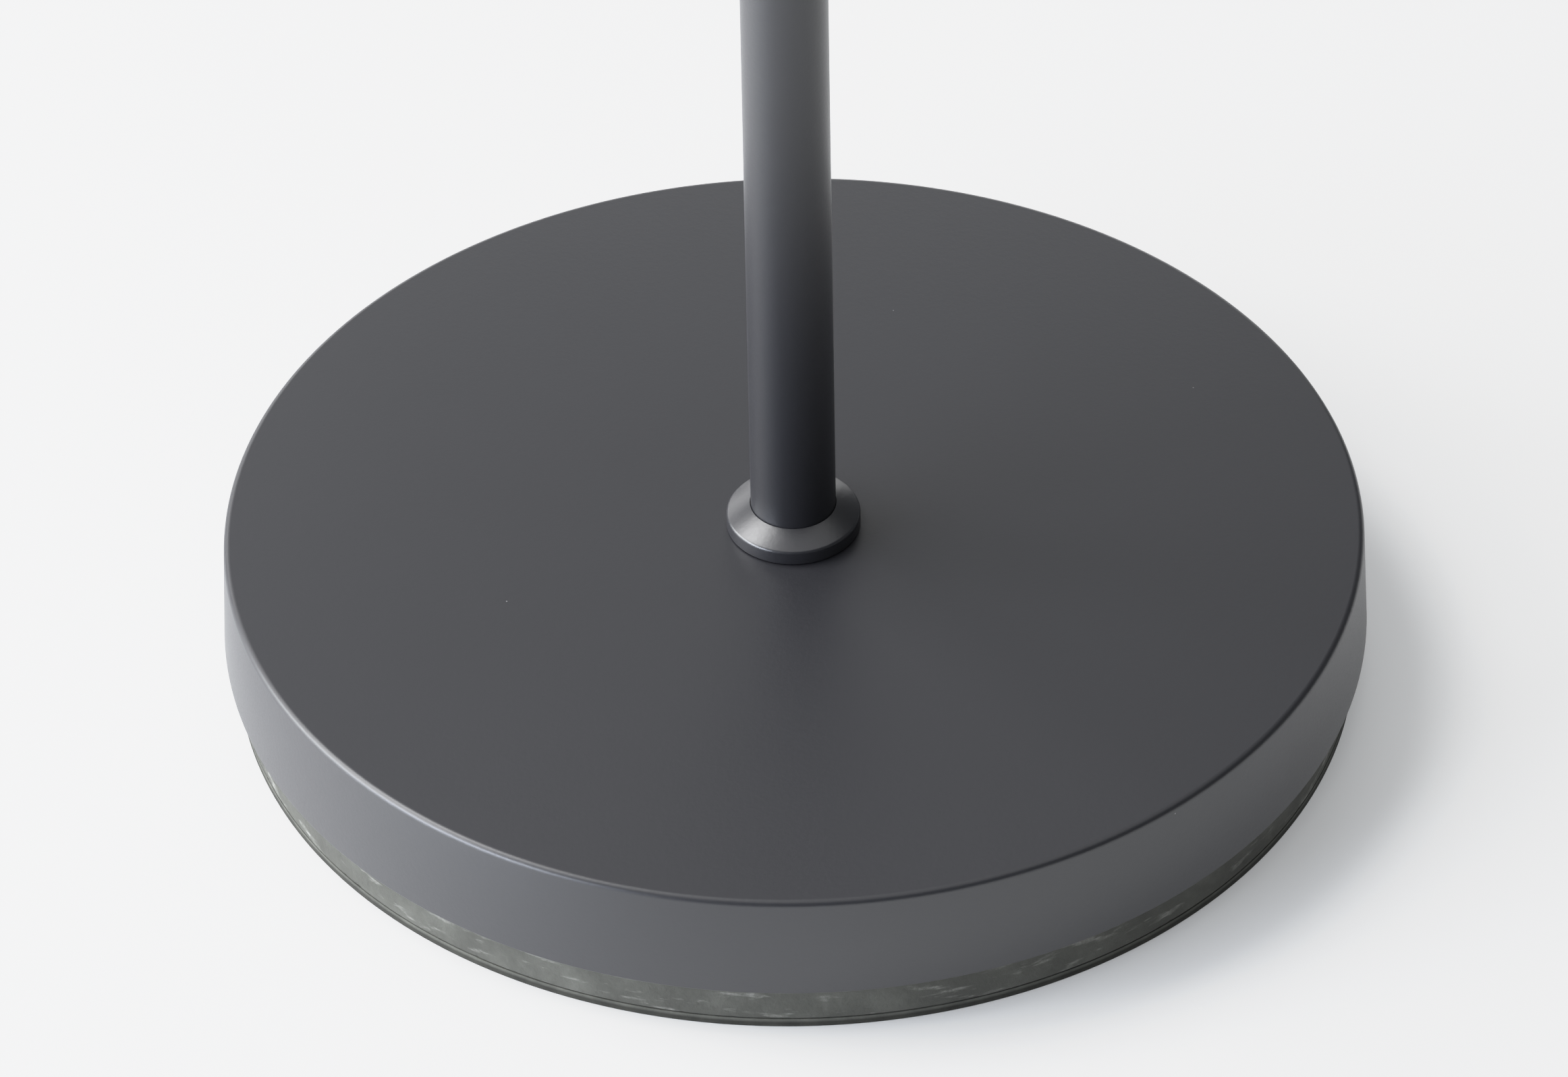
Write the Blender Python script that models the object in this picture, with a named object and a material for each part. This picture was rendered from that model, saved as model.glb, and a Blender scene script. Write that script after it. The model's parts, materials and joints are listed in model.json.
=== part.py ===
"""Standing coat rack: a weighted round base, a pole in three screwed sections and two tiers of hooks.

Metres, +Z up. The origin is on the pole's axis, on the floor. Run it with
blender --background --python part.py, or from Blender's text editor.
"""

from math import cos, pi, radians, sin

import bmesh
import bpy
from mathutils import Matrix, Vector

MM = 0.001
GAP = 0.3  # clearance that nested and stacked pieces keep

# Driving dimensions, in millimetres
BASE_HEIGHT = 49.5  # floor to the base's top face
BASE_TOP_RADIUS = 170.0
SKIRT_RIM_RADIUS = 171.5  # the skirt flares a little towards its rim
SKIRT_RIM_HEIGHT = 16.0  # the weight shows below this rim
SHELL_EDGE_RADIUS = 2.0
SHELL_WALL = 1.5
FOOT_THICKNESS = 3.0
FOOT_HOLE_RADIUS = 28.0
WEIGHT_RADIUS = 168.0
WEIGHT_CHAMFER = 1.0
RECESS_RADIUS = 27.0
RECESS_DEPTH = 14.0
BOLT_RADIUS = 5.0
BOLT_HOLE_RADIUS = 5.5
BOLT_HEAD_FLATS = 17.0
BOLT_HEAD_HEIGHT = 6.4
TUBE_RADIUS = 12.7
TUBE_WALL = 1.2
TUBE_LENGTH = 562.0
TUBE_CHAMFER = 0.4
INSERT_LENGTH = 35.0
INSERT_HOLE_DEPTH = 30.0
STUD_LENGTH = 56.0
COLLAR_RADIUS = 20.0
COLLAR_RIM = 4.5
COLLAR_NECK_RADIUS = 14.4
COLLAR_HEIGHT = 10.0
CAP_HEAD_HEIGHT = 8.0
CAP_PLUG_LENGTH = 20.0
HUB_RADIUS = 20.0
HUB_HEIGHT = 26.0
HUB_CHAMFER = 2.0
ROD_RADIUS = 4.0
TIP_RADIUS = 8.5
TIP_HOLE_DEPTH = 10.0
SET_SCREW_RADIUS = 3.0
SET_SCREW_LENGTH = 6.0
SOCKET_RADIUS = 1.7
SOCKET_DEPTH = 3.0
HOOKS_PER_TIER = 4

# Each tier: hub height, turn of the first hook, straight run, bend radius, bend angle, upright run
TIERS = {
    "upper": {"z": 1668.5, "turn": 0.0, "run": 50.0, "bend": 40.0, "angle": 68.0, "upright": 34.0},
    "lower": {"z": 1508.5, "turn": 45.0, "run": 42.0, "bend": 32.0, "angle": 74.0, "upright": 20.0},
}

# How finely round pieces are divided
BASE_STEPS = 64
COLLAR_STEPS = 36
POLE_STEPS = 24
SMALL_STEPS = 16
TINY_STEPS = 12
BEND_STEPS = 8
ROD_RESOLUTION = 3
SHARP_ANGLE = radians(35)

# Places that follow from the dimensions above
BORE = TUBE_RADIUS + GAP
TUBE_INNER = TUBE_RADIUS - TUBE_WALL
INSERT_RADIUS = TUBE_INNER - GAP
THREAD_HOLE = BOLT_RADIUS + GAP
POLE_BOTTOM = BASE_HEIGHT + GAP
TUBE_PITCH = TUBE_LENGTH + GAP
RECESS_CEILING = FOOT_THICKNESS + GAP + RECESS_DEPTH


def clear_scene():
    for obj in list(bpy.data.objects):
        bpy.data.objects.remove(obj, do_unlink=True)


def material(name, colour, roughness, metallic):
    made = bpy.data.materials.new(name)
    made.use_nodes = True
    shader = made.node_tree.nodes["Principled BSDF"]
    shader.inputs["Base Color"].default_value = (*colour, 1.0)
    shader.inputs["Roughness"].default_value = roughness
    shader.inputs["Metallic"].default_value = metallic
    made.diffuse_color = (*colour, 1.0)
    return made


def powder_coat(name):
    return material(name, (0.075, 0.077, 0.085), 0.42, 0.3)


def cast_stone(name):
    return material(name, (0.22, 0.225, 0.21), 0.85, 0.0)


def foot_rubber(name):
    return material(name, (0.035, 0.037, 0.033), 0.9, 0.0)


def zinc_steel(name):
    return material(name, (0.56, 0.57, 0.58), 0.35, 0.9)


def dark_plastic(name):
    return material(name, (0.045, 0.046, 0.05), 0.5, 0.0)


def add_object(name, mesh, finish):
    mesh.shade_smooth()
    mesh.set_sharp_from_angle(angle=SHARP_ANGLE)
    obj = bpy.data.objects.new(name, mesh)
    bpy.context.scene.collection.objects.link(obj)
    mesh.materials.append(finish(name + "_finish"))
    return obj


def mesh_from(bm, name):
    bmesh.ops.recalc_face_normals(bm, faces=bm.faces)
    mesh = bpy.data.meshes.new(name)
    bm.to_mesh(mesh)
    bm.free()
    return mesh


def turned_mesh(name, outline, steps):
    """A solid turned about Z from an outline of (radius, height) points in millimetres.

    An outline that starts and ends on the axis stays open; any other one is closed.
    """
    bm = bmesh.new()
    points = [bm.verts.new((radius * MM, 0.0, height * MM)) for radius, height in outline]
    edges = [bm.edges.new(pair) for pair in zip(points, points[1:])]
    on_axis = outline[0][0] == 0.0 and outline[-1][0] == 0.0
    if not on_axis:
        edges.append(bm.edges.new((points[-1], points[0])))
    bmesh.ops.spin(
        bm, geom=points + edges, cent=(0, 0, 0), axis=(0, 0, 1), angle=2 * pi, steps=steps
    )
    bmesh.ops.remove_doubles(bm, verts=bm.verts, dist=0.001 * MM)
    return mesh_from(bm, name)


def turned(name, outline, finish, steps):
    return add_object(name, turned_mesh(name, outline, steps), finish)


def arc(centre, radius, start, end, steps):
    """Outline points on an arc about (radius, height), from one angle to another, in degrees."""
    angles = [radians(start + (end - start) * step / steps) for step in range(steps + 1)]
    return [(centre[0] + radius * cos(a), centre[1] + radius * sin(a)) for a in angles]


def ring(inner, outer, bottom, top):
    return [(inner, top), (outer, top), (outer, bottom), (inner, bottom)]


def cutter(name, mesh, matrix):
    obj = bpy.data.objects.new(name, mesh)
    bpy.context.scene.collection.objects.link(obj)
    obj.matrix_world = matrix
    obj.hide_render = True
    obj.display_type = "WIRE"
    return obj


def combine(obj, other, operation):
    modifier = obj.modifiers.new(operation.title(), "BOOLEAN")
    modifier.operation = operation
    modifier.object = other
    modifier.solver = "EXACT"


def prism(name, radius, bottom, top, sides):
    """An upright prism in millimetres; its corners lie on the radius."""
    bm = bmesh.new()
    bmesh.ops.create_cone(
        bm,
        cap_ends=True,
        segments=sides,
        radius1=radius * MM,
        radius2=radius * MM,
        depth=(top - bottom) * MM,
        matrix=Matrix.Translation((0, 0, (top + bottom) / 2 * MM)),
    )
    return mesh_from(bm, name)


def outward(turn, height):
    """The matrix that lays +Z radially outward at a turn about the pole and a height."""
    lift = Matrix.Translation((0, 0, height * MM))
    return lift @ Matrix.Rotation(radians(turn), 4, "Z") @ Matrix.Rotation(pi / 2, 4, "Y")


def make_base_shell():
    """Pressed steel cover: a flat top, a small rolled edge and a slightly flared skirt."""
    top = BASE_HEIGHT
    edge = SHELL_EDGE_RADIUS
    inner_edge = 1.0
    under = top - SHELL_WALL
    outer = arc((BASE_TOP_RADIUS - edge, top - edge), edge, 90, 0, 4)
    inner = arc((BASE_TOP_RADIUS - SHELL_WALL - inner_edge, under - inner_edge), inner_edge, 0, 90, 2)
    rim = [(SKIRT_RIM_RADIUS, SKIRT_RIM_HEIGHT), (SKIRT_RIM_RADIUS - SHELL_WALL, SKIRT_RIM_HEIGHT)]
    outline = [(BOLT_HOLE_RADIUS, top)] + outer + rim + inner + [(BOLT_HOLE_RADIUS, under)]
    turned("base_shell", outline, powder_coat, BASE_STEPS)


def make_base_weight():
    """Cast disc that fills the shell and stands out below its rim, with a recess for the bolt."""
    bottom = FOOT_THICKNESS + GAP
    top = BASE_HEIGHT - SHELL_WALL - GAP
    outline = [
        (BOLT_HOLE_RADIUS, top),
        (WEIGHT_RADIUS - 2 * WEIGHT_CHAMFER, top),
        (WEIGHT_RADIUS, top - 2 * WEIGHT_CHAMFER),
        (WEIGHT_RADIUS, bottom + WEIGHT_CHAMFER),
        (WEIGHT_RADIUS - WEIGHT_CHAMFER, bottom),
        (RECESS_RADIUS, bottom),
        (RECESS_RADIUS, RECESS_CEILING),
        (BOLT_HOLE_RADIUS, RECESS_CEILING),
    ]
    turned("base_weight", outline, cast_stone, BASE_STEPS)


def make_foot_ring():
    """Flat rubber ring under the weight, open in the middle for a spanner."""
    outline = ring(FOOT_HOLE_RADIUS, WEIGHT_RADIUS, 0.0, FOOT_THICKNESS)
    turned("foot_ring", outline, foot_rubber, BASE_STEPS)


def make_base_fixing():
    """Hex bolt with a wide washer and a lock washer, up through the weight into the pole."""
    washer_thickness = 3.0
    lock_thickness = 2.2
    washer_top = RECESS_CEILING - GAP
    lock_top = washer_top - washer_thickness - GAP
    head_top = lock_top - lock_thickness - GAP
    head_bottom = head_top - BOLT_HEAD_HEIGHT
    shank_top = POLE_BOTTOM + INSERT_HOLE_DEPTH - 1.0
    head_corner = BOLT_HEAD_FLATS / 2 / cos(pi / 6)

    washer = ring(BOLT_HOLE_RADIUS, 25.0, washer_top - washer_thickness, washer_top)
    turned("base_washer", washer, zinc_steel, POLE_STEPS)
    lock = ring(BOLT_HOLE_RADIUS, 9.0, lock_top - lock_thickness, lock_top)
    turned("base_lock_washer", lock, zinc_steel, SMALL_STEPS)

    bolt = add_object("base_bolt", prism("base_bolt", head_corner, head_bottom, head_top, 6), zinc_steel)
    shank_bottom = head_bottom + BOLT_HEAD_HEIGHT / 2
    shank = prism("base_bolt_shank", BOLT_RADIUS, shank_bottom, shank_top, SMALL_STEPS)
    combine(bolt, cutter("base_bolt_shank", shank, Matrix.Identity(4)), "UNION")


def make_foot_collar():
    """Cover ring at the foot of the pole: a low rim, a cone and a short neck."""
    bottom = POLE_BOTTOM
    cone_top = bottom + 7.9
    outline = [
        (BORE, bottom + COLLAR_HEIGHT),
        (COLLAR_NECK_RADIUS - 0.4, bottom + COLLAR_HEIGHT),
        (COLLAR_NECK_RADIUS, bottom + COLLAR_HEIGHT - 0.4),
        (COLLAR_NECK_RADIUS, cone_top),
        (COLLAR_RADIUS - 0.6, bottom + COLLAR_RIM),
        (COLLAR_RADIUS, bottom + COLLAR_RIM - 0.6),
        (COLLAR_RADIUS, bottom),
        (BORE, bottom),
    ]
    turned("foot_collar", outline, powder_coat, COLLAR_STEPS)


def tube_outline(bottom):
    top = bottom + TUBE_LENGTH
    return [
        (TUBE_INNER, top),
        (TUBE_RADIUS - TUBE_CHAMFER, top),
        (TUBE_RADIUS, top - TUBE_CHAMFER),
        (TUBE_RADIUS, bottom + TUBE_CHAMFER),
        (TUBE_RADIUS - TUBE_CHAMFER, bottom),
        (TUBE_INNER, bottom),
    ]


def make_insert(name, mouth, direction):
    """Threaded plug fixed in a tube's end: its blind hole opens at the mouth's height."""
    far = mouth + direction * INSERT_LENGTH
    blind = mouth + direction * INSERT_HOLE_DEPTH
    outline = [
        (0.0, far),
        (INSERT_RADIUS, far),
        (INSERT_RADIUS, mouth),
        (THREAD_HOLE, mouth),
        (THREAD_HOLE, blind),
        (0.0, blind),
    ]
    turned(name, outline, zinc_steel, SMALL_STEPS)


def make_pole():
    """Three equal tubes, each with a threaded plug in either end, joined by double-ended studs."""
    bottoms = [POLE_BOTTOM + TUBE_PITCH * index for index in range(3)]
    for name, bottom in zip(("lower_tube", "middle_tube", "upper_tube"), bottoms):
        turned(name, tube_outline(bottom), powder_coat, POLE_STEPS)

    make_insert("lower_tube_foot_insert", bottoms[0], 1)
    make_insert("lower_tube_top_insert", bottoms[0] + TUBE_LENGTH, -1)
    make_insert("middle_tube_bottom_insert", bottoms[1], 1)
    make_insert("middle_tube_top_insert", bottoms[1] + TUBE_LENGTH, -1)
    make_insert("upper_tube_bottom_insert", bottoms[2], 1)

    for name, seam in (("lower_joint_stud", bottoms[1]), ("upper_joint_stud", bottoms[2])):
        middle = seam - GAP / 2
        half = STUD_LENGTH / 2
        chamfer = 1.0
        outline = [
            (0.0, middle + half),
            (BOLT_RADIUS - chamfer, middle + half),
            (BOLT_RADIUS, middle + half - chamfer),
            (BOLT_RADIUS, middle - half + chamfer),
            (BOLT_RADIUS - chamfer, middle - half),
            (0.0, middle - half),
        ]
        turned(name, outline, zinc_steel, SMALL_STEPS)


def make_top_cap():
    """Domed plug pressed into the top of the pole."""
    seat = POLE_BOTTOM + TUBE_PITCH * 2 + TUBE_LENGTH + GAP
    side = 2.5
    dome = [
        (TUBE_RADIUS * sin(angle), seat + side + (CAP_HEAD_HEIGHT - side) * cos(angle))
        for angle in (radians(90 * step / 4) for step in range(5))
    ]
    outline = [(0.0, seat + CAP_HEAD_HEIGHT)] + dome[1:]
    outline += [
        (TUBE_RADIUS, seat + TUBE_CHAMFER),
        (TUBE_RADIUS - TUBE_CHAMFER, seat),
        (INSERT_RADIUS, seat),
        (INSERT_RADIUS, seat - CAP_PLUG_LENGTH + 1.0),
        (INSERT_RADIUS - 1.0, seat - CAP_PLUG_LENGTH),
        (0.0, seat - CAP_PLUG_LENGTH),
    ]
    turned("top_cap", outline, powder_coat, POLE_STEPS)


def make_hub(tier, place):
    """Ring on the pole with a threaded hole for each hook and a set screw between hooks."""
    name = tier + "_hook_hub"
    low = place["z"] - HUB_HEIGHT / 2
    high = place["z"] + HUB_HEIGHT / 2
    chamfer = HUB_CHAMFER
    outline = [
        (BORE, high),
        (HUB_RADIUS - chamfer, high),
        (HUB_RADIUS, high - chamfer),
        (HUB_RADIUS, low + chamfer),
        (HUB_RADIUS - chamfer, low),
        (BORE, low),
    ]
    hub = turned(name, outline, powder_coat, POLE_STEPS)
    hole_start = BORE - 3.0
    hole_end = HUB_RADIUS + 3.0
    hook_hole = prism("hook_hole", ROD_RADIUS + GAP, hole_start, hole_end, SMALL_STEPS)
    screw_hole = prism("screw_hole", SET_SCREW_RADIUS + GAP, hole_start, hole_end, TINY_STEPS)
    step = 360 / HOOKS_PER_TIER
    for index in range(HOOKS_PER_TIER):
        turn = place["turn"] + step * index
        place_hole = outward(turn, place["z"])
        combine(hub, cutter(f"{name}_hook_hole_{index + 1}", hook_hole, place_hole), "DIFFERENCE")
    for index in range(2):
        turn = place["turn"] + step / 2 + 180 * index
        place_hole = outward(turn, place["z"])
        combine(hub, cutter(f"{name}_screw_hole_{index + 1}", screw_hole, place_hole), "DIFFERENCE")


def make_set_screws(tier, place):
    """The hub's two set screws, each with a socket in its outer end."""
    inner = BORE + GAP
    outer = inner + SET_SCREW_LENGTH
    outline = [
        (0.0, inner),
        (SET_SCREW_RADIUS, inner),
        (SET_SCREW_RADIUS, outer),
        (SOCKET_RADIUS, outer),
        (SOCKET_RADIUS, outer - SOCKET_DEPTH),
        (0.0, outer - SOCKET_DEPTH),
    ]
    for index in range(2):
        screw = turned(f"{tier}_hub_set_screw_{index + 1}", outline, zinc_steel, TINY_STEPS)
        screw.matrix_world = outward(place["turn"] + 180 / HOOKS_PER_TIER + 180 * index, place["z"])


def hook_path(place):
    """A hook's centre line as (radius, height) points, from the hub out and up, and its end angle."""
    start = BORE + 1.0
    corner = place["run"]
    points = [(start, 0.0), (HUB_RADIUS, 0.0)]
    points += arc((corner, place["bend"]), place["bend"], -90, place["angle"] - 90, BEND_STEPS)
    end = radians(place["angle"])
    last = points[-1]
    points.append((last[0] + place["upright"] * cos(end), last[1] + place["upright"] * sin(end)))
    return points, end


def make_hook(name, place, turn):
    """Bent round bar, screwed into the hub."""
    points, _ = hook_path(place)
    curve = bpy.data.curves.new(name, "CURVE")
    curve.dimensions = "3D"
    curve.bevel_depth = ROD_RADIUS * MM
    curve.bevel_resolution = ROD_RESOLUTION
    curve.use_fill_caps = True
    spline = curve.splines.new("POLY")
    spline.points.add(len(points) - 1)
    for point, (radius, height) in zip(spline.points, points):
        point.co = (radius * MM, 0.0, height * MM, 1.0)
    curve.materials.append(powder_coat(name + "_finish"))
    obj = bpy.data.objects.new(name, curve)
    bpy.context.scene.collection.objects.link(obj)
    obj.location.z = place["z"] * MM
    obj.rotation_euler.z = radians(turn)


def make_tip(name, place, turn):
    """Ball end pushed over the hook's bar."""
    points, end = hook_path(place)
    mouth_radius = ROD_RADIUS + GAP
    mouth_angle = 32.0
    lowest = TIP_RADIUS * cos(radians(mouth_angle))
    ball = arc((0.0, 0.0), TIP_RADIUS, 90, mouth_angle - 90, 7)
    ball[0] = (0.0, TIP_RADIUS)
    outline = ball + [
        (mouth_radius, -lowest),
        (mouth_radius, TIP_HOLE_DEPTH - lowest),
        (0.0, TIP_HOLE_DEPTH - lowest),
    ]
    obj = turned(name, outline, dark_plastic, TINY_STEPS)
    bar_end = Vector((points[-1][0], 0.0, points[-1][1]))
    along = Vector((cos(end), 0.0, sin(end)))
    centre = bar_end - along * (TIP_HOLE_DEPTH - lowest - GAP)
    turn_about_pole = Matrix.Rotation(radians(turn), 4, "Z")
    lean = Matrix.Rotation(pi / 2 - end, 4, "Y")
    lift = Matrix.Translation((0, 0, place["z"] * MM))
    obj.matrix_world = lift @ turn_about_pole @ Matrix.Translation(centre * MM) @ lean


def make_tiers():
    for tier, place in TIERS.items():
        make_hub(tier, place)
        make_set_screws(tier, place)
        for index in range(HOOKS_PER_TIER):
            turn = place["turn"] + 360 / HOOKS_PER_TIER * index
            make_hook(f"{tier}_hook_{index + 1}", place, turn)
            make_tip(f"{tier}_hook_tip_{index + 1}", place, turn)


clear_scene()
make_base_shell()
make_base_weight()
make_foot_ring()
make_base_fixing()
make_foot_collar()
make_pole()
make_top_cap()
make_tiers()
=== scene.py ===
"""Looks for the standing coat rack: fine meshes, materials, studio and camera."""

import json
from math import cos, pi, radians, sin, tan

import bmesh
import bpy
from mathutils import Matrix, Vector, noise


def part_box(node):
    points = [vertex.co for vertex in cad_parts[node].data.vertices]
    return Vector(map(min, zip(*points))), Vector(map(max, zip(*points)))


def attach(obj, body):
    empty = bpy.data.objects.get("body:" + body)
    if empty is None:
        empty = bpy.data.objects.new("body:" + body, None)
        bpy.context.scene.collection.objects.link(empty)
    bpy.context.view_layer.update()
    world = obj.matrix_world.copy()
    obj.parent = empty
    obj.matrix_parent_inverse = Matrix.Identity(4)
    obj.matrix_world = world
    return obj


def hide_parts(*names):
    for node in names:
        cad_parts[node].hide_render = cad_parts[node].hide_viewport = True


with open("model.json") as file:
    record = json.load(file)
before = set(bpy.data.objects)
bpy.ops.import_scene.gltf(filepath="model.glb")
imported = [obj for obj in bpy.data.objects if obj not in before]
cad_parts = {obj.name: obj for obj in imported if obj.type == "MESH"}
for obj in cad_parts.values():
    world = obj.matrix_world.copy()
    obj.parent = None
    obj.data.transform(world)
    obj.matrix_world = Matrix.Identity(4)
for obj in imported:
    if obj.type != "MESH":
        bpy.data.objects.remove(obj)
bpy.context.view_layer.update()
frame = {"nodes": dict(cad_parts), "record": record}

MM = 0.001
BODY = "root"

# Inner dimensions of the part, in metres; its outer ones are read from the frame
GAP = 0.3 * MM
SHELL_WALL = 1.5 * MM
SKIRT_FLARE = 1.5 * MM
WEIGHT_RECESS_RADIUS = 27.0 * MM
WEIGHT_RECESS_TOP = 17.3 * MM
FOOT_HOLE_RADIUS = 28.0 * MM
BOLT_HOLE_RADIUS = 5.5 * MM
BOLT_RADIUS = 5.0 * MM
BOLT_HEAD_HEIGHT = 6.4 * MM
LOCK_WASHER_THICKNESS = 1.8 * MM
LOCK_WASHER_HALF_SPLIT = radians(7)
BORE = 13.0 * MM
COLLAR_RIM = 4.5 * MM
COLLAR_LIP = 8.0 * MM  # the photo shows no neck above the cone, which the CAD has
TUBE_WALL = 1.2 * MM
CAP_HEAD_HEIGHT = 8.0 * MM
CAP_SIDE_HEIGHT = 2.5 * MM
CAP_PLUG_RADIUS = 11.2 * MM
HUB_RADIUS = 20.0 * MM
ROD_RADIUS = 4.0 * MM
TIP_RADIUS = 8.5 * MM
TIP_MOUTH = radians(32)
TIP_HOLE_DEPTH = 10.0 * MM
SET_SCREW_RADIUS = 3.0 * MM
SET_SCREW_LENGTH = 6.0 * MM
SOCKET_RADIUS = 1.5 * MM
SOCKET_DEPTH = 3.0 * MM
ROD_CHAMFER = 0.5 * MM
SCREWS_PER_TIER = 2
HOOKS_PER_TIER = 4
TIERS = {
    "upper": {"turn": 0, "run": 50 * MM, "bend": 40 * MM, "angle": radians(68), "upright": 34 * MM},
    "lower": {"turn": 45, "run": 42 * MM, "bend": 32 * MM, "angle": radians(74), "upright": 20 * MM},
}

# How finely the pieces are divided
BASE_STEPS = 256
WEIGHT_STEPS = 960
WEIGHT_ROWS = 26
WEIGHT_ROWS_START = 14 * MM  # the rows begin this far below the weight's top
POLE_STEPS = 96
SMALL_STEPS = 48
ROD_STEPS = 36
BEND_STEPS = 28
BALL_STEPS = 22
DOME_STEPS = 12
CORNER_STEPS = 6
SHARP_ANGLE = radians(40)
CUT_SHARP_ANGLE = radians(30)

# The weight's rough side
WAVE_DEPTH = 0.06 * MM
WAVE_SCALE = 45
PIT_DEPTH = 0.7 * MM
PIT_SCALE = 420
PIT_START = 0.35  # noise above this makes a pit

# The camera: a long lens that looks down at the base
IMAGE_WIDTH = 2324
FOCAL_PIXELS = 13914
SENSOR_WIDTH = 36.0
CAMERA_DISTANCE = 2.8
CAMERA_ELEVATION = radians(39.56)
CAMERA_ROLL = radians(1.05)
CAMERA_REACH = 1000.0
AIM_LEFT = 14.7  # how far the camera aims left of the base's middle, in pixels
AIM_DOWN = 23.3  # and how far below it

# The studio, in metres
LIGHT_AIM = 100 * MM  # the height that the lights face
SUN_DISTANCE = 4.0
WORLD_LIGHT = 0.10
FLOOR_RADIUS = 400.0
FLOOR_GLOW = 0.23  # fills the shadow at the base
FAR_GLOW = 0.47  # stands in for the softboxes where they no longer reach
GLOW_START = 1.2  # distance from the base where the glow begins to grow
GLOW_END = 4.5
WHITE = (1.0, 1.0, 1.0)
COOL = (0.95, 0.98, 1.0)
BLUE = (0.68, 0.78, 1.0)
SUNS = [
    # name, azimuth, elevation, spread in degrees, strength
    ("key", -118, 56, 28, 1.35),
    ("overhead", 0, 90, 72, 0.75),
]
SOFTBOXES = [
    # name, azimuth, elevation, distance, width, height, radiance, tint
    ("left_high", -90, 50, 2.4, 1.6, 1.2, 2.4, WHITE),
    ("left_middle", -90, 28, 1.8, 1.2, 0.8, 6.2, WHITE),
    ("left_low", -80, 12, 2.4, 3.2, 1.0, 8.0, COOL),
    ("front_low", -60, 12, 3.0, 2.0, 1.0, 6.2, BLUE),
    ("back_left", -144, 17, 2.4, 1.4, 0.8, 3.0, WHITE),
    ("back_low", 180, 9, 5.2, 3.2, 1.2, 3.6, WHITE),
    ("back_middle", 180, 40, 4.8, 2.4, 1.8, 0.35, WHITE),
]
TONE_CURVE = 3  # the curve that acts on all three colours
SHOULDER_START = 0.65  # brightness from which highlights are compressed
SHOULDER_END = 6.0
SHOULDER_STEPS = 12


# Shapes


def corner_arc(before, corner, after, radius):
    """Points of the arc that rounds an outline's corner."""
    corner = Vector(corner)
    back = (Vector(before) - corner).normalized()
    ahead = (Vector(after) - corner).normalized()
    half = back.angle(ahead) / 2
    centre = corner + (back + ahead).normalized() * (radius / sin(half))
    start = corner + back * (radius / tan(half)) - centre
    end = corner + ahead * (radius / tan(half)) - centre
    points = []
    for step in range(CORNER_STEPS + 1):
        spoke = start.normalized().slerp(end.normalized(), step / CORNER_STEPS)
        points.append(tuple(centre + spoke * radius))
    return points


def rounded(outline):
    """Plain points of a closed outline of (radius, height, rounding) corners."""
    points = []
    for index, (radius, height, rounding) in enumerate(outline):
        if rounding == 0:
            points.append((radius, height))
            continue
        before = outline[index - 1][:2]
        after = outline[(index + 1) % len(outline)][:2]
        points += corner_arc(before, (radius, height), after, rounding)
    return points


def mesh_object(name, bm):
    bmesh.ops.recalc_face_normals(bm, faces=bm.faces)
    mesh = bpy.data.meshes.new(name)
    bm.to_mesh(mesh)
    bm.free()
    mesh.shade_smooth()
    mesh.set_sharp_from_angle(angle=SHARP_ANGLE)
    obj = bpy.data.objects.new(name, mesh)
    bpy.context.scene.collection.objects.link(obj)
    return obj


def circle(radius, height, steps, shape=None):
    """A level ring of points; shape may change the radius and height with the turn."""
    points = []
    for step in range(steps):
        turn = 2 * pi * step / steps
        r, z = shape(turn, radius, height) if shape else (radius, height)
        points.append((r * cos(turn), r * sin(turn), z))
    return points


def skinned(name, rings, closed):
    """A solid whose skin runs through rings of points; a ring of one point closes an end."""
    bm = bmesh.new()
    rows = [[bm.verts.new(point) for point in ring] for ring in rings]
    pairs = list(zip(rows, rows[1:]))
    if closed:
        pairs.append((rows[-1], rows[0]))
    for first, second in pairs:
        count = max(len(first), len(second))
        for here in range(count):
            there = (here + 1) % count
            corners = [
                first[here % len(first)],
                first[there % len(first)],
                second[there % len(second)],
                second[here % len(second)],
            ]
            bm.faces.new(list(dict.fromkeys(corners)))
    return mesh_object(name, bm)


def turned(name, outline, steps, shape=None):
    """A solid turned about Z; an outline that starts and ends on the axis stays open."""
    rings = []
    for radius, height in outline:
        if radius == 0:
            rings.append([(0.0, 0.0, height)])
        else:
            rings.append(circle(radius, height, steps, shape))
    return skinned(name, rings, outline[0][0] > 0)


def cut(obj, cutters):
    """Cuts solids out of an object and drops them."""
    for cutter in cutters:
        modifier = obj.modifiers.new("cut", "BOOLEAN")
        modifier.operation = "DIFFERENCE"
        modifier.solver = "EXACT"
        modifier.object = cutter
    shape = obj.evaluated_get(bpy.context.evaluated_depsgraph_get())
    mesh = bpy.data.meshes.new_from_object(shape)
    obj.modifiers.clear()
    obj.data = mesh
    mesh.shade_smooth()
    mesh.set_sharp_from_angle(angle=CUT_SHARP_ANGLE)
    for cutter in cutters:
        bpy.data.objects.remove(cutter)


def stand_in(obj, node, material):
    """Gives a piece its material and lets it take its CAD node's place."""
    obj.data.materials.clear()
    obj.data.materials.append(material)
    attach(obj, BODY)
    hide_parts(node)


# Materials


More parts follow.
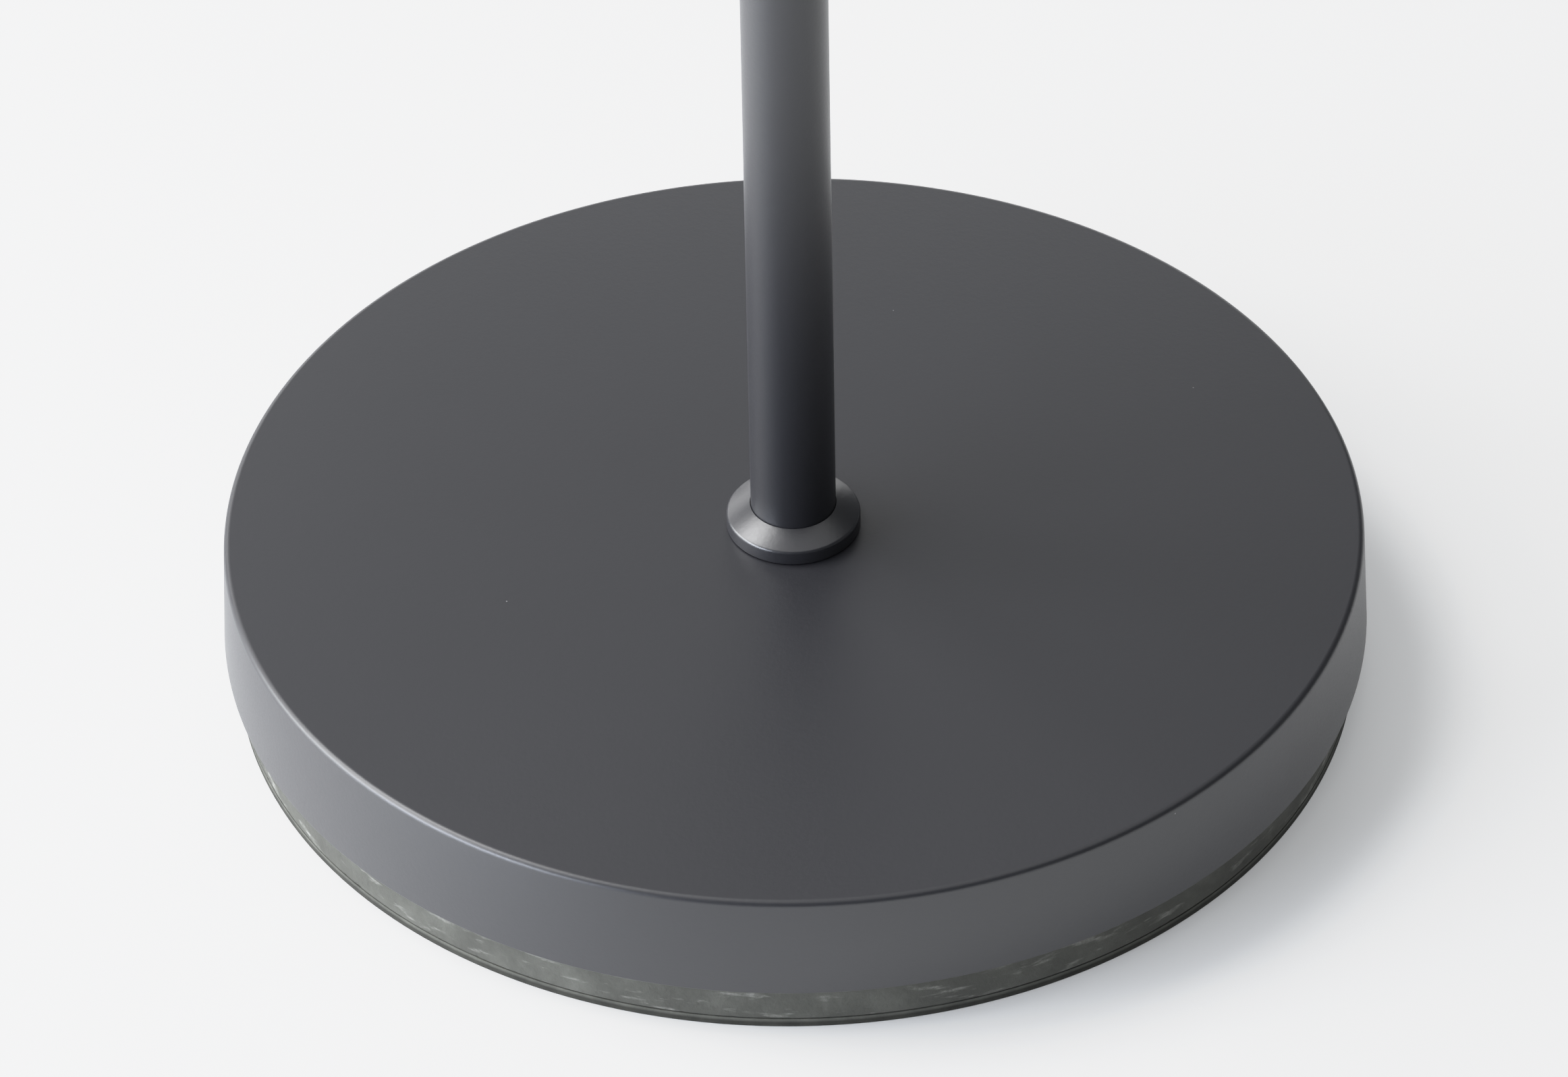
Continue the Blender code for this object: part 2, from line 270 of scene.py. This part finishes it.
class Shader:
    """A procedural Principled material, built from small steps."""

    def __init__(self, name, metallic=0.0, ior=1.5):
        self.material = bpy.data.materials.new(name)
        self.material.use_nodes = True
        self.tree = self.material.node_tree
        self.surface = self.tree.nodes["Principled BSDF"]
        self.surface.inputs["Metallic"].default_value = metallic
        self.surface.inputs["IOR"].default_value = ior
        self.place = self.add("ShaderNodeTexCoord").outputs["Object"]

    def add(self, kind, **settings):
        node = self.tree.nodes.new(kind)
        for key, value in settings.items():
            setattr(node, key, value)
        return node

    def link(self, start, end):
        self.tree.links.new(start, end)

    def noise(self, scale, detail=4.0, roughness=0.5, stretch=None):
        """Noise over the object; stretch scales its axes first."""
        place = self.place
        if stretch:
            mapping = self.add("ShaderNodeMapping")
            mapping.inputs["Scale"].default_value = stretch
            self.link(place, mapping.inputs["Vector"])
            place = mapping.outputs["Vector"]
        node = self.add("ShaderNodeTexNoise")
        node.inputs["Scale"].default_value = scale
        node.inputs["Detail"].default_value = detail
        node.inputs["Roughness"].default_value = roughness
        self.link(place, node.inputs["Vector"])
        return node.outputs["Fac"]

    def specks(self, scale, size):
        """Sparse round dots: 1 on a dot, 0 elsewhere."""
        node = self.add("ShaderNodeTexVoronoi")
        node.inputs["Scale"].default_value = scale
        self.link(self.place, node.inputs["Vector"])
        return self.span(node.outputs["Distance"], size, 0.6 * size, 0.0, 1.0)

    def height(self):
        """Height above the floor, in metres."""
        node = self.add("ShaderNodeSeparateXYZ")
        self.link(self.place, node.inputs["Vector"])
        return node.outputs["Z"]

    def span(self, value, low, high, new_low, new_high):
        node = self.add("ShaderNodeMapRange")
        node.inputs["From Min"].default_value = low
        node.inputs["From Max"].default_value = high
        node.inputs["To Min"].default_value = new_low
        node.inputs["To Max"].default_value = new_high
        self.link(value, node.inputs["Value"])
        return node.outputs["Result"]

    def ramp(self, value, stops):
        """Colours at places along a value."""
        node = self.add("ShaderNodeValToRGB")
        elements = node.color_ramp.elements
        while len(elements) < len(stops):
            elements.new(0.5)
        for element, (place, colour) in zip(elements, stops):
            element.position = place
            element.color = (*colour, 1.0)
        self.link(value, node.inputs["Fac"])
        return node.outputs["Color"]

    def mix(self, factor, first, second):
        node = self.add("ShaderNodeMix", data_type="RGBA")
        self.link(factor, node.inputs["Factor"])
        self.link(first, node.inputs[6])
        self.link(second, node.inputs[7])
        return node.outputs[2]

    def bump(self, height, strength, distance, under=None):
        node = self.add("ShaderNodeBump")
        node.inputs["Strength"].default_value = strength
        node.inputs["Distance"].default_value = distance
        self.link(height, node.inputs["Height"])
        if under:
            self.link(under, node.inputs["Normal"])
        return node.outputs["Normal"]

    def finish(self, colour, roughness, normal):
        self.link(colour, self.surface.inputs["Base Color"])
        self.link(roughness, self.surface.inputs["Roughness"])
        self.link(normal, self.surface.inputs["Normal"])
        return self.material


def powder_coat(name, ior, smoothness):
    """Satin anthracite powder coat: fine grain, faint clouding, a few pale specks of dust.

    smoothness is taken off the roughness.
    """
    s = Shader(name, ior=ior)
    cloud = s.noise(9.0, detail=3.0)
    grain = s.noise(1800.0, detail=2.0)
    peel = s.noise(620.0, detail=2.0)
    dust = s.specks(45.0, 0.012)
    coat = s.ramp(cloud, [(0.3, (0.0190, 0.0192, 0.0232)), (0.7, (0.0210, 0.0212, 0.0256))])
    pale = s.ramp(grain, [(0.3, (0.20, 0.20, 0.21)), (0.7, (0.30, 0.30, 0.31))])
    return s.finish(
        s.mix(dust, coat, pale),
        s.span(grain, 0.3, 0.7, 0.36 - smoothness, 0.40 - smoothness),
        s.bump(grain, 0.10, 0.00012, s.bump(peel, 0.12, 0.00025)),
    )


def cast_stone():
    """Grey-green cast weight: mottled cement with pale scuffs and small pits."""
    s = Shader("cast_stone")
    patches = s.noise(55.0, detail=8.0, roughness=0.62)
    streaks = s.noise(60.0, detail=5.0, roughness=0.6, stretch=(1.0, 1.0, 5.0))
    pits = s.noise(420.0, detail=6.0, roughness=0.7)
    tone = s.ramp(patches, [
        (0.32, (0.064, 0.064, 0.056)),
        (0.50, (0.088, 0.089, 0.078)),
        (0.68, (0.125, 0.126, 0.112)),
    ])
    scuff = s.ramp(pits, [(0.4, (0.16, 0.16, 0.145)), (0.65, (0.34, 0.34, 0.315))])
    return s.finish(
        s.mix(s.span(streaks, 0.56, 0.68, 0.0, 0.8), tone, scuff),
        s.span(patches, 0.3, 0.7, 0.72, 0.92),
        s.bump(pits, 0.5, 0.0006, s.bump(patches, 0.5, 0.0012)),
    )


def foot_rubber():
    """Rubber ring: dark along the floor, lighter grey-green along its upper edge."""
    s = Shader("foot_rubber")
    dust = s.noise(160.0, detail=6.0, roughness=0.65)
    grain = s.noise(1300.0, detail=3.0)
    dark = s.ramp(dust, [(0.35, (0.022, 0.022, 0.018)), (0.7, (0.050, 0.050, 0.042))])
    upper_tone = s.ramp(dust, [(0.35, (0.075, 0.076, 0.066)), (0.7, (0.130, 0.131, 0.115))])
    # Darker in the lowest part, next to the floor; lighter grey-green above
    return s.finish(
        s.mix(s.span(s.height(), 1.7 * MM, 2.5 * MM, 0.0, 1.0), dark, upper_tone),
        s.span(dust, 0.3, 0.7, 0.78, 0.95),
        s.bump(grain, 0.35, 0.0003, s.bump(dust, 0.3, 0.0005)),
    )


def zinc_steel():
    """Bright zinc-plated steel: fine turning marks under a faintly cloudy plating."""
    s = Shader("zinc_steel", metallic=1.0)
    marks = s.noise(900.0, detail=2.0, stretch=(0.15, 0.15, 3.0))
    cloud = s.noise(140.0, detail=4.0)
    return s.finish(
        s.ramp(cloud, [(0.3, (0.50, 0.51, 0.52)), (0.7, (0.62, 0.63, 0.63))]),
        s.span(cloud, 0.3, 0.7, 0.28, 0.42),
        s.bump(marks, 0.25, 0.0001),
    )


def tip_plastic():
    """Moulded dark plastic with a fine matt texture."""
    s = Shader("tip_plastic")
    grain = s.noise(1500.0, detail=2.0)
    cloud = s.noise(40.0, detail=2.0)
    return s.finish(
        s.ramp(cloud, [(0.3, (0.030, 0.031, 0.034)), (0.7, (0.036, 0.037, 0.041))]),
        s.span(grain, 0.3, 0.7, 0.48, 0.58),
        s.bump(grain, 0.15, 0.00012),
    )


# The base


def make_base_shell(material):
    low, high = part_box("base_shell")
    rim = high.x
    top = high.x - SKIRT_FLARE
    outline = [
        (BOLT_HOLE_RADIUS, high.z, 0),
        (top, high.z, 2.0 * MM),
        (rim, low.z, 0.5 * MM),
        (rim - SHELL_WALL, low.z, 0.5 * MM),
        (top - SHELL_WALL, high.z - SHELL_WALL, 1.0 * MM),
        (BOLT_HOLE_RADIUS, high.z - SHELL_WALL, 0),
    ]
    obj = turned("base_shell_fine", rounded(outline), BASE_STEPS)
    stand_in(obj, "base_shell", material)


def cast_skin(turn, radius, height):
    """Roughens the weight's skin with shallow waves and pits."""
    place = Vector((radius * cos(turn), radius * sin(turn), height))
    waves = WAVE_DEPTH * (1 + noise.noise(place * WAVE_SCALE))
    pit = max(0.0, noise.noise(place * PIT_SCALE) - PIT_START)
    return radius - waves - PIT_DEPTH * pit, height


def make_base_weight(material):
    """The weight, with many rows of points where its side shows below the shell."""
    low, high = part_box("base_weight")
    side_low = low.z + 0.25 * MM
    side_high = high.z - WEIGHT_ROWS_START
    outline = [
        (BOLT_HOLE_RADIUS, high.z),
        (high.x - 2 * MM, high.z),
        (high.x, high.z - 2 * MM),
    ]
    for row in range(WEIGHT_ROWS + 1):
        outline.append((high.x, side_high + (side_low - side_high) * row / WEIGHT_ROWS))
    outline += [
        (high.x - 0.05 * MM, low.z + 0.1 * MM),
        (high.x - 0.2 * MM, low.z),
        (WEIGHT_RECESS_RADIUS, low.z),
        (WEIGHT_RECESS_RADIUS, WEIGHT_RECESS_TOP),
        (BOLT_HOLE_RADIUS, WEIGHT_RECESS_TOP),
    ]
    obj = turned("base_weight_fine", outline, WEIGHT_STEPS, cast_skin)
    stand_in(obj, "base_weight", material)


def make_foot_ring(material):
    low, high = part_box("foot_ring")
    outline = [
        (FOOT_HOLE_RADIUS, high.z, 0.3 * MM),
        (high.x, high.z, 0.1 * MM),
        (high.x, low.z, 0.5 * MM),
        (FOOT_HOLE_RADIUS, low.z, 0.5 * MM),
    ]
    obj = turned("foot_ring_fine", rounded(outline), BASE_STEPS)
    stand_in(obj, "foot_ring", material)


def make_foot_collar(material):
    low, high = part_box("foot_collar")
    bore = BORE - GAP / 2
    outline = [
        (bore, low.z + COLLAR_LIP, 0.1 * MM),
        (high.x, low.z + COLLAR_RIM, 1.2 * MM),
        (high.x, low.z, 0.3 * MM),
        (bore, low.z, 0),
    ]
    obj = turned("foot_collar_fine", rounded(outline), POLE_STEPS)
    stand_in(obj, "foot_collar", material)


# The fixing under the base


def hexagon(turn, flats):
    """A hexagon's radius at a turn, from the distance across its flats."""
    return flats / 2 / cos((turn + pi / 6) % (pi / 3) - pi / 6)


def make_base_bolt(material):
    low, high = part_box("base_bolt")
    width = high.x - low.x
    depth = high.y - low.y
    flats = min(width, depth)
    twist = pi / 6 if flats == depth else pi / 3
    head_top = low.z + BOLT_HEAD_HEIGHT
    face = 0.94 * flats / 2  # the round face inside the head's chamfer

    def head(turn, radius, height):
        """Makes the head's outermost points six-sided and chamfers its lower corners."""
        if radius < flats / 2 * 0.99:
            return radius, height
        corner = hexagon(turn + twist, flats)
        drop = (corner - face) * tan(radians(30))
        return corner, height + drop if height < low.z + 1 * MM else height

    outline = [
        (0.0, high.z),
        (BOLT_RADIUS - 1 * MM, high.z),
        (BOLT_RADIUS, high.z - 1 * MM),
        (BOLT_RADIUS, head_top + 0.4 * MM),
        (BOLT_RADIUS + 0.4 * MM, head_top),
        (flats / 2, head_top),
        (flats / 2, low.z),
        (face, low.z),
        (face - 1.2 * MM, low.z),
        (face - 1.6 * MM, low.z + 0.25 * MM),
        (0.0, low.z + 0.25 * MM),
    ]
    obj = turned("base_bolt_fine", outline, POLE_STEPS, head)
    stand_in(obj, "base_bolt", material)


def make_base_washer(material):
    low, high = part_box("base_washer")
    outline = [
        (BOLT_HOLE_RADIUS, high.z, 0.2 * MM),
        (high.x, high.z, 0.2 * MM),
        (high.x, low.z, 0.7 * MM),
        (BOLT_HOLE_RADIUS, low.z, 0.4 * MM),
    ]
    obj = turned("base_washer_fine", rounded(outline), POLE_STEPS)
    stand_in(obj, "base_washer", material)


def make_lock_washer(material):
    """A spring washer: a flat bar coiled once, with its two ends offset at the split."""
    low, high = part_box("base_lock_washer")
    rise = high.z - low.z - LOCK_WASHER_THICKNESS
    first = LOCK_WASHER_HALF_SPLIT
    last = 2 * pi - first
    rings = []
    for step in range(POLE_STEPS + 1):
        part = step / POLE_STEPS
        turn = first + (last - first) * part
        bottom = low.z + rise * part
        top = bottom + LOCK_WASHER_THICKNESS
        corners = [
            (BOLT_HOLE_RADIUS, bottom),
            (high.x, bottom),
            (high.x, top),
            (BOLT_HOLE_RADIUS, top),
        ]
        rings.append([(r * cos(turn), r * sin(turn), z) for r, z in corners])
    middle = (high.x + BOLT_HOLE_RADIUS) / 2
    half = LOCK_WASHER_THICKNESS / 2
    rings.insert(0, [(middle * cos(first), middle * sin(first), low.z + half)])
    rings.append([(middle * cos(last), middle * sin(last), high.z - half)])
    obj = skinned("base_lock_washer_fine", rings, False)
    stand_in(obj, "base_lock_washer", material)


# The pole


def make_tube(node, material):
    low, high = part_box(node)
    outline = [
        (high.x - TUBE_WALL, high.z, 0),
        (high.x, high.z, 0.4 * MM),
        (high.x, low.z, 0.4 * MM),
        (high.x - TUBE_WALL, low.z, 0),
    ]
    obj = turned(node + "_fine", rounded(outline), POLE_STEPS)
    stand_in(obj, node, material)


def make_top_cap(material):
    low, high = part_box("top_cap")
    seat = high.z - CAP_HEAD_HEIGHT
    dome = CAP_HEAD_HEIGHT - CAP_SIDE_HEIGHT
    outline = [(0.0, high.z)]
    for step in range(1, DOME_STEPS + 1):
        lean = radians(90 * step / DOME_STEPS)
        outline.append((high.x * sin(lean), seat + CAP_SIDE_HEIGHT + dome * cos(lean)))
    outline += [
        (high.x, seat + 0.3 * MM),
        (high.x - 0.1 * MM, seat + 0.1 * MM),
        (high.x - 0.3 * MM, seat),
        (CAP_PLUG_RADIUS, seat),
        (CAP_PLUG_RADIUS, low.z + 1 * MM),
        (CAP_PLUG_RADIUS - 1 * MM, low.z),
        (0.0, low.z),
    ]
    obj = turned("top_cap_fine", outline, POLE_STEPS)
    stand_in(obj, "top_cap", material)


# The hooks


def around(turn, height):
    """The matrix that turns about the pole, in degrees, and lifts to a height."""
    return Matrix.Translation((0, 0, height)) @ Matrix.Rotation(radians(turn), 4, "Z")


def outward(turn, height):
    """The matrix that lays +Z radially outward, at a turn in degrees and a height."""
    return around(turn, height) @ Matrix.Rotation(pi / 2, 4, "Y")


def drill(name, radius, turn, height):
    """A cutter for a radial hole through a hub's wall, chamfered at its mouth."""
    inner = BORE - 3 * MM
    outer = HUB_RADIUS + 3 * MM
    outline = [
        (0.0, inner),
        (radius, inner),
        (radius, HUB_RADIUS - 0.5 * MM),
        (radius + 0.7 * MM, HUB_RADIUS + 0.2 * MM),
        (radius + 0.7 * MM, outer),
        (0.0, outer),
    ]
    obj = turned(name, outline, SMALL_STEPS)
    obj.matrix_world = outward(turn, height)
    return obj


def make_hub(tier, place, material):
    node = tier + "_hook_hub"
    low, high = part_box(node)
    outline = [
        (BORE, high.z, 0.3 * MM),
        (high.x, high.z, 2.2 * MM),
        (high.x, low.z, 2.2 * MM),
        (BORE, low.z, 0.3 * MM),
    ]
    hub = turned(node + "_fine", rounded(outline), POLE_STEPS)
    middle = (low.z + high.z) / 2
    step = 360 / HOOKS_PER_TIER
    cutters = []
    for index in range(HOOKS_PER_TIER):
        turn = place["turn"] + step * index
        cutters.append(drill(f"hook_drill_{index}", ROD_RADIUS + GAP, turn, middle))
    for index in range(SCREWS_PER_TIER):
        turn = place["turn"] + step / 2 + 180 * index
        cutters.append(drill(f"screw_drill_{index}", SET_SCREW_RADIUS + GAP, turn, middle))
    cut(hub, cutters)
    stand_in(hub, node, material)


def make_set_screws(tier, place, material):
    """Socket set screws: a chamfered rim round a six-sided socket."""
    inner = BORE + GAP
    outer = inner + SET_SCREW_LENGTH
    outline = [
        (0.0, inner),
        (SET_SCREW_RADIUS - 0.6 * MM, inner),
        (SET_SCREW_RADIUS, inner + 0.6 * MM),
        (SET_SCREW_RADIUS, outer - 0.3 * MM),
        (SET_SCREW_RADIUS - 0.3 * MM, outer),
        (SOCKET_RADIUS, outer),
        (SOCKET_RADIUS, outer - SOCKET_DEPTH),
        (0.0, outer - SOCKET_DEPTH - 0.5 * MM),
    ]

    def socket(turn, radius, height):
        if radius > SOCKET_RADIUS:
            return radius, height
        return hexagon(turn, 2 * SOCKET_RADIUS), height

    for index in range(SCREWS_PER_TIER):
        node = f"{tier}_hub_set_screw_{index + 1}"
        low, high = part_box(node)
        obj = turned(node + "_fine", outline, SMALL_STEPS, socket)
        turn = place["turn"] + 180 / HOOKS_PER_TIER + 180 * index
        obj.matrix_world = outward(turn, (low.z + high.z) / 2)
        stand_in(obj, node, material)


def hook_path(place):
    """A hook's centre line as (radius, height, heading) points, out of the hub and up."""
    points = [(BORE + 1 * MM, 0.0, 0.0), (HUB_RADIUS, 0.0, 0.0)]
    for step in range(BEND_STEPS + 1):
        heading = place["angle"] * step / BEND_STEPS
        radius = place["run"] + place["bend"] * sin(heading)
        points.append((radius, place["bend"] * (1 - cos(heading)), heading))
    radius, height, heading = points[-1]
    reach = place["upright"]
    points.append((radius + reach * cos(heading), height + reach * sin(heading), heading))
    return points


def make_hook(node, place, turn, height, material):
    """Bent round bar with chamfered ends."""
    path = hook_path(place)
    sections = [(*path[0], ROD_RADIUS - ROD_CHAMFER)]
    x, z, heading = path[0]
    sections.append((x + ROD_CHAMFER, z, heading, ROD_RADIUS))
    sections += [(*point, ROD_RADIUS) for point in path[1:-1]]
    x, z, heading = path[-1]
    before = (x - ROD_CHAMFER * cos(heading), z - ROD_CHAMFER * sin(heading))
    sections.append((*before, heading, ROD_RADIUS))
    sections.append((x, z, heading, ROD_RADIUS - ROD_CHAMFER))
    rings = [[(sections[0][0], 0.0, sections[0][1])]]
    for x, z, heading, radius in sections:
        ring = []
        for rise, y, _ in circle(radius, 0.0, ROD_STEPS):
            ring.append((x - rise * sin(heading), y, z + rise * cos(heading)))
        rings.append(ring)
    rings.append([(sections[-1][0], 0.0, sections[-1][1])])
    obj = skinned(node + "_fine", rings, False)
    obj.matrix_world = around(turn, height)
    stand_in(obj, node, material)


def make_tip(node, place, turn, height, material):
    """Ball end with a rounded mouth where the bar goes in."""
    lowest = TIP_RADIUS * cos(TIP_MOUTH)
    mouth = ROD_RADIUS + GAP
    outline = [(0.0, TIP_RADIUS)]
    for step in range(1, BALL_STEPS + 1):
        lean = (pi - TIP_MOUTH) * step / BALL_STEPS
        outline.append((TIP_RADIUS * sin(lean), TIP_RADIUS * cos(lean)))
    outline += [
        (mouth, -lowest + 0.1 * MM),
        (mouth, TIP_HOLE_DEPTH - lowest),
        (0.0, TIP_HOLE_DEPTH - lowest),
    ]
    obj = turned(node + "_fine", outline, SMALL_STEPS)
    x, z, heading = hook_path(place)[-1]
    along = Vector((cos(heading), 0.0, sin(heading)))
    centre = Vector((x, 0.0, z)) - along * (TIP_HOLE_DEPTH - lowest - GAP)
    lean = Matrix.Rotation(pi / 2 - heading, 4, "Y")
    obj.matrix_world = around(turn, height) @ Matrix.Translation(centre) @ lean
    stand_in(obj, node, material)


def make_tier(tier, place, coat, zinc, plastic):
    make_hub(tier, place, coat)
    make_set_screws(tier, place, zinc)
    low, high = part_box(tier + "_hook_hub")
    middle = (low.z + high.z) / 2
    for index in range(HOOKS_PER_TIER):
        turn = place["turn"] + 360 / HOOKS_PER_TIER * index
        make_hook(f"{tier}_hook_{index + 1}", place, turn, middle, coat)
        make_tip(f"{tier}_hook_tip_{index + 1}", place, turn, middle, plastic)


# The studio


def make_floor():
    """A pale floor with a faint glow, which grows with the distance from the base."""
    bm = bmesh.new()
    bmesh.ops.create_circle(bm, cap_ends=True, segments=POLE_STEPS, radius=FLOOR_RADIUS)
    floor = mesh_object("floor", bm)
    s = Shader("floor")
    cloud = s.noise(0.6, detail=2.0)
    grain = s.noise(300.0, detail=2.0)
    tone = s.ramp(cloud, [(0.3, (0.80, 0.80, 0.80)), (0.7, (0.82, 0.82, 0.82))])
    paper = s.finish(tone, s.span(grain, 0.3, 0.7, 0.36, 0.40), s.bump(grain, 0.05, 0.0001))
    reach = s.add("ShaderNodeVectorMath", operation="LENGTH")
    s.link(s.place, reach.inputs[0])
    glow = s.span(reach.outputs["Value"], GLOW_START, GLOW_END, FLOOR_GLOW, FAR_GLOW)
    s.surface.inputs["Emission Color"].default_value = (0.96, 0.98, 1.0, 1.0)
    s.link(glow, s.surface.inputs["Emission Strength"])
    floor.data.materials.append(paper)


def aim(obj, target):
    obj.rotation_euler = (Vector(target) - obj.location).to_track_quat("-Z", "Y").to_euler()


def place_light(name, data, azimuth, elevation, distance):
    """Aims a light at the base: azimuth 0 is the camera's side, -90 the left."""
    obj = bpy.data.objects.new(name, data)
    bpy.context.scene.collection.objects.link(obj)
    side = radians(azimuth)
    rise = radians(elevation)
    target = Vector((0.0, 0.0, LIGHT_AIM))
    towards = Vector((sin(side) * cos(rise), -cos(side) * cos(rise), sin(rise)))
    obj.location = target + distance * towards
    aim(obj, target)
    obj.visible_camera = False


def add_softbox(name, azimuth, elevation, distance, width, height, radiance, tint):
    data = bpy.data.lights.new(name, "AREA")
    data.shape = "RECTANGLE"
    data.size = width
    data.size_y = height
    data.energy = pi * width * height * radiance
    data.color = tint
    place_light(name, data, azimuth, elevation, distance)


def add_soft_sun(name, azimuth, elevation, spread, strength):
    """A wide, distant light: it falls evenly on the whole floor."""
    data = bpy.data.lights.new(name, "SUN")
    data.angle = radians(spread)
    data.energy = strength
    place_light(name, data, azimuth, elevation, SUN_DISTANCE)


def make_lights():
    """Light from the left, from above and from behind; the camera's side is dark."""
    for sun in SUNS:
        add_soft_sun(*sun)
    for softbox in SOFTBOXES:
        add_softbox(*softbox)


def make_world():
    """A world that lights faintly, but is pale where the camera sees it directly."""
    world = bpy.data.worlds.new("studio")
    bpy.context.scene.world = world
    world.use_nodes = True
    nodes = world.node_tree.nodes
    links = world.node_tree.links
    faint = nodes["Background"]
    faint.inputs["Color"].default_value = (0.9, 0.95, 1.0, 1.0)
    faint.inputs["Strength"].default_value = WORLD_LIGHT
    pale = nodes.new("ShaderNodeBackground")
    pale.inputs["Color"].default_value = (0.90, 0.92, 0.94, 1.0)
    seen = nodes.new("ShaderNodeLightPath").outputs["Is Camera Ray"]
    choose = nodes.new("ShaderNodeMixShader")
    links.new(seen, choose.inputs[0])
    links.new(faint.outputs[0], choose.inputs[1])
    links.new(pale.outputs[0], choose.inputs[2])
    links.new(choose.outputs[0], nodes["World Output"].inputs["Surface"])


def soften_highlights():
    """A tone curve: straight up to SHOULDER_START, then bending towards white."""
    view = bpy.context.scene.view_settings
    view.view_transform = "Standard"
    view.use_curve_mapping = True
    curves = view.curve_mapping
    curves.white_level = (SHOULDER_END, SHOULDER_END, SHOULDER_END)
    curve = curves.curves[TONE_CURVE]
    rest = 1.0 - SHOULDER_START
    for step in range(SHOULDER_STEPS + 1):
        value = SHOULDER_START * (SHOULDER_END / SHOULDER_START) ** (step / SHOULDER_STEPS)
        past = (value - SHOULDER_START) / rest
        shown = SHOULDER_START + rest * past / (1.0 + past)
        if step == SHOULDER_STEPS:
            curve.points[-1].location = (1.0, shown)
        else:
            curve.points.new(value / SHOULDER_END, shown)
    for point in curve.points:
        point.handle_type = "VECTOR"
    curves.update()


def make_camera():
    """The photo's camera: aimed near the middle of the base's top, slightly rolled."""
    middle = Vector((0.0, 0.0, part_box("base_shell")[1].z))
    data = bpy.data.cameras.new("camera")
    data.sensor_width = SENSOR_WIDTH
    data.lens = SENSOR_WIDTH * FOCAL_PIXELS / IMAGE_WIDTH
    data.clip_end = CAMERA_REACH
    camera = bpy.data.objects.new("camera", data)
    bpy.context.scene.collection.objects.link(camera)
    back = Vector((0.0, -cos(CAMERA_ELEVATION), sin(CAMERA_ELEVATION)))
    look = (-back).to_track_quat("-Z", "Y").to_matrix().to_4x4()
    pan = Matrix.Rotation(AIM_LEFT / FOCAL_PIXELS, 4, "Y")
    tilt = Matrix.Rotation(-AIM_DOWN / FOCAL_PIXELS, 4, "X")
    roll = Matrix.Rotation(-CAMERA_ROLL, 4, "Z")
    place = Matrix.Translation(middle + back * CAMERA_DISTANCE)
    camera.matrix_world = place @ look @ pan @ tilt @ roll
    bpy.context.scene.camera = camera


def dress_frame(materials):
    """Gives every CAD node the material of its slot."""
    for row in frame["record"]["subparts"]:
        mesh = frame["nodes"][row["node"]].data
        mesh.materials.clear()
        mesh.materials.append(materials[row["material_slot"]])


coat = powder_coat("powder_coat", 1.69, 0.0)
glossy_coat = powder_coat("glossy_coat", 1.80, 0.05)
stone = cast_stone()
rubber = foot_rubber()
zinc = zinc_steel()
plastic = tip_plastic()
dress_frame({
    "powder_coat": coat,
    "cast_stone": stone,
    "foot_rubber": rubber,
    "zinc_steel": zinc,
    "tip_plastic": plastic,
})

make_base_shell(coat)
make_base_weight(stone)
make_foot_ring(rubber)
make_foot_collar(glossy_coat)
make_base_bolt(zinc)
make_base_washer(zinc)
make_lock_washer(zinc)
for tube in ("lower_tube", "middle_tube", "upper_tube"):
    make_tube(tube, coat)
make_top_cap(coat)
for tier, place in TIERS.items():
    make_tier(tier, place, coat, zinc, plastic)

make_floor()
make_lights()
make_world()
make_camera()
soften_highlights()
